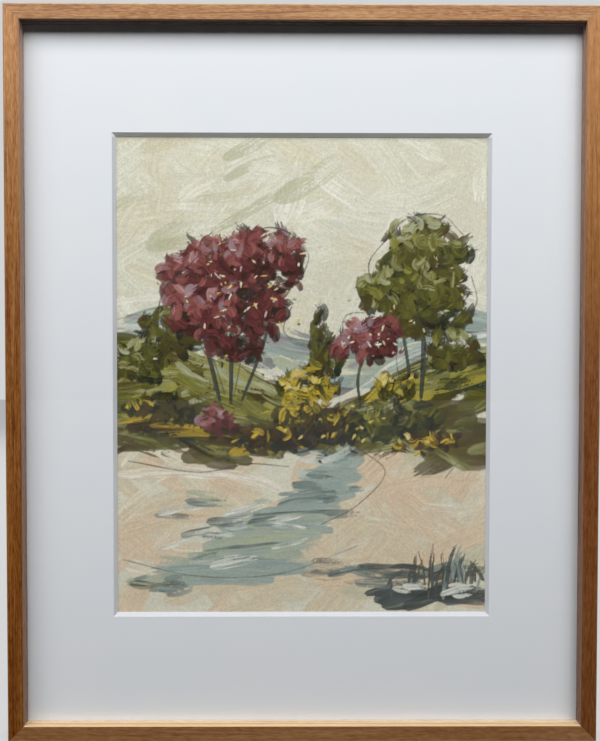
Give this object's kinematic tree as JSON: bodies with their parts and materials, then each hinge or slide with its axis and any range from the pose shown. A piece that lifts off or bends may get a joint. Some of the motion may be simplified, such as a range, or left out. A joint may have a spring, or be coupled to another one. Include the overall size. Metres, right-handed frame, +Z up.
{
  "type": "framed picture",
  "caption": "Painted sheet behind glass in a deep white bevelled mat and a narrow mitred wooden frame, closed at the back by a board and hung on a sawtooth hanger.",
  "frame": {"origin": "middle of the top rail's back face, which lies against the wall", "axes": "+Z up, +Y towards the wall; the picture faces -Y"},
  "size_m": [0.4214, 0.025, 0.523],
  "materials": {
    "frame_wood": "semi-gloss clear finish over straight-grained honey-brown wood",
    "spacer_wood": "satin stained fillet",
    "clear_glass": "clear float glass",
    "mat_board": "matt white board with a fine tooth",
    "art_paper": "painted heavy paper",
    "dried_paint": "satin dried paint with brush marks",
    "hinge_paper": "gummed paper",
    "backing_board": "raw fibreboard",
    "plated_steel": "zinc plated"
  },
  "bodies": {
    "root": {"rail_top": "frame_wood", "rail_right": "frame_wood", "rail_bottom": "frame_wood", "rail_left": "frame_wood", "spacer_top": "spacer_wood", "spacer_right": "spacer_wood", "spacer_bottom": "spacer_wood", "spacer_left": "spacer_wood", "glazing": "clear_glass", "window_mat": "mat_board", "artwork_sheet": "art_paper", "hinge_left": "hinge_paper", "hinge_right": "hinge_paper", "undermount": "mat_board", "backboard": "backing_board", "corner_wedge_top_left": "plated_steel", "corner_wedge_top_right": "plated_steel", "corner_wedge_bottom_right": "plated_steel", "corner_wedge_bottom_left": "plated_steel", "tab_top_1": "plated_steel", "tab_top_2": "plated_steel", "tab_top_3": "plated_steel", "tab_right_1": "plated_steel", "tab_right_2": "plated_steel", "tab_right_3": "plated_steel", "tab_right_4": "plated_steel", "tab_bottom_1": "plated_steel", "tab_bottom_2": "plated_steel", "tab_bottom_3": "plated_steel", "tab_left_1": "plated_steel", "tab_left_2": "plated_steel", "tab_left_3": "plated_steel", "tab_left_4": "plated_steel", "sawtooth_hanger": "plated_steel", "rivet_left": "plated_steel", "rivet_right": "plated_steel"}
  },
  "joints": []
}
